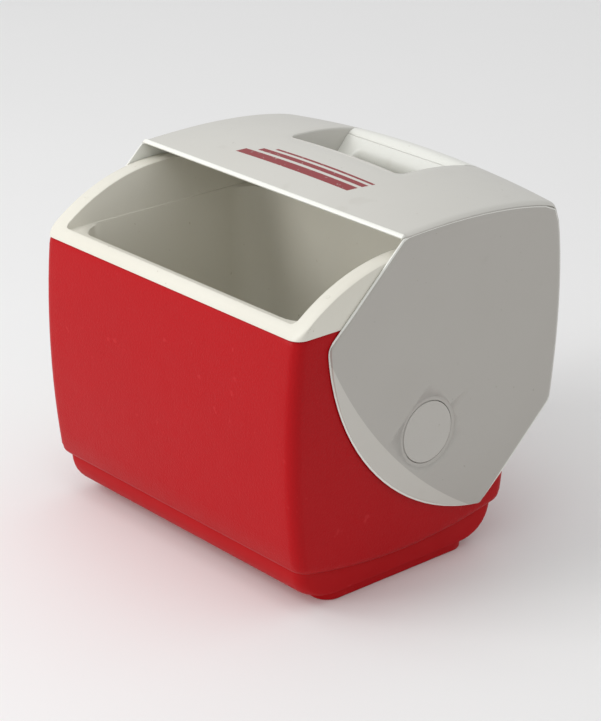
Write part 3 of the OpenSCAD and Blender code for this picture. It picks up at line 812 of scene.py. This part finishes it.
def build_arm(side, edge_paint, panel_paint):
    """One arm, made on the right, mirrored for the left and swung to where the lid rests."""
    name = "right" if side > 0 else "left"
    half = cuts((0, 9), (86, 6), (98, 8), (arm_side_y(), 0))
    ys = [-y for y in reversed(half[1:])] + half
    plate, panel, core = arm_plate(side, name, ys), arm_panel(side, name, ys), arm_hub(side, name)
    place = to_rest.copy()
    place.translation = place.translation * MM
    if side < 0:
        place = place @ Matrix.Scale(-1, 4, (1, 0, 0))
    for piece in (plate, panel, core):
        piece.data.transform(place)
        if side < 0:
            piece.data.flip_normals()
    settle(panel, panel_paint, "lid", "arm_grey", "arm_" + name)
    settle(plate, edge_paint, "lid", "lid_inner")
    settle(core, edge_paint, "lid", "arm_grey")


def build_button(paint):
    dish = 1.4
    dish_r = (button_r**2 + dish**2) / (2 * dish)
    centre = button_out - dish + dish_r
    face = [(r, centre - math.sqrt(dish_r**2 - r * r)) for r in (0.01, 4, 8, 12, 16, 19, 21)]
    edge = [(button_r - 0.8, button_out - 0.02), (button_r - 0.3, button_out - 0.15)]
    edge += [(button_r - 0.05, button_out - 0.5), (button_r, button_out - 1)]
    stem = [(4, button_in), (4, 129.2), (0.01, 129.2)]
    profile = face + edge + [(button_r, button_in + 0.3), (button_r - 0.3, button_in)] + stem
    piece = to_object(spun(profile, (button_y, button_z), 128), "push_button", to_rest)
    return settle(piece, paint, "button", "button_white", "release_button")


# ---- scene, in metres ----

camera_place = Vector((1.2610, -1.0714, 0.8089))
camera_look = Vector((-0.6974, 0.6054, -0.3836))
camera_lens = 124.1


def aim(thing, place, target):
    thing.location = place
    thing.rotation_euler = (Vector(target) - Vector(place)).to_track_quat("-Z", "Y").to_euler()


def build_camera():
    lens = bpy.data.cameras.new("camera")
    lens.lens, lens.sensor_width = camera_lens, 36.0
    lens.clip_start, lens.clip_end = 0.05, 60
    camera = bpy.data.objects.new("camera", lens)
    bpy.context.scene.collection.objects.link(camera)
    aim(camera, camera_place, camera_place + camera_look)
    bpy.context.scene.camera = camera


def area_light(name, place, size, power, target=(0, 0, 0.12)):
    data = bpy.data.lights.new(name, "AREA")
    data.size, data.energy, data.shape = size, power, "DISK"
    light = bpy.data.objects.new(name, data)
    bpy.context.scene.collection.objects.link(light)
    aim(light, place, target)


def build_studio():
    world = bpy.data.worlds.new("studio")
    bpy.context.scene.world = world
    world.use_nodes = True
    world.node_tree.nodes["Background"].inputs["Color"].default_value = (1, 1, 1, 1)
    world.node_tree.nodes["Background"].inputs["Strength"].default_value = 0.72
    bpy.context.scene.view_settings.view_transform = "Standard"
    area_light("key", (-1.0, -1.5, 1.6), 1.0, 11)
    area_light("low_front", (-0.7, -2.2, 0.85), 0.8, 14, (0, 0, 0.18))
    area_light("top", (-0.1, 0.1, 2.0), 1.2, 1.5)
    area_light("low_side", (1.4, -1.9, 0.3), 0.6, 0.8)
    area_light("over_tub", (-0.06, -0.2, 0.5), 0.16, 0.16, (0, 0.03, 0.08))
    bm = bmesh.new()
    bmesh.ops.create_grid(bm, x_segments=8, y_segments=8, size=6000)
    floor = to_object(bm, "floor")
    floor.data.materials.append(floor_paint().material)
    floor.location.z = -0.0002


def main():
    build_camera()
    build_studio()
    liner = smooth_plastic("liner plastic", rgb(222, 220, 210), rgb(215, 211, 197), rgb(170, 160, 140), 0.42)
    lid = roof_paint()
    side = arm_paint()
    scuff = rgb(160, 154, 142)
    white = smooth_plastic("white moulding", rgb(232, 233, 227), rgb(226, 226, 219), rgb(188, 182, 168), 0.36)
    button = smooth_plastic("button plastic", rgb(190, 187, 181), rgb(183, 180, 173), scuff, 0.34)
    steel = metal_paint("bright steel", (0.62, 0.62, 0.64, 1))
    slick = smooth_plastic("slick bush plastic", rgb(215, 214, 208), rgb(205, 204, 198), scuff, 0.3)
    foam = foam_paint()
    # the stops' darker red is painted shade under the skirt, not a different plastic
    dark = smooth_plastic("dark red stops", rgb(120, 10, 16), rgb(108, 8, 14), rgb(70, 20, 20), 0.6)
    red = red_shell_paint()
    build_shell(red)
    build_feet(dark)
    build_liner(liner)
    build_rim_marks(liner)
    build_roof(lid)
    build_eave_lips(white)
    build_grip(white)
    build_arm(1, white, side)
    build_arm(-1, white, side)
    build_button(button)
    kept = {
        "body_foam": foam, "lid_foam": foam, "pivot_cup_right": white, "pivot_cup_left": white,
        "pivot_bush_right": slick, "pivot_bush_left": slick, "pivot_washer_right": slick,
        "pivot_washer_left": slick, "latch_strike": steel, "strike_rivets": steel, "lid_liner": liner,
        "grip_screws": steel, "pivot_pin_right": steel, "pivot_pin_left": steel, "latch_pin": steel,
        "stem_clip": steel, "button_spring": steel,
    }
    for node, paint in kept.items():
        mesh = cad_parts[node].data
        mesh.materials.clear()
        mesh.materials.append(paint.material)


main()
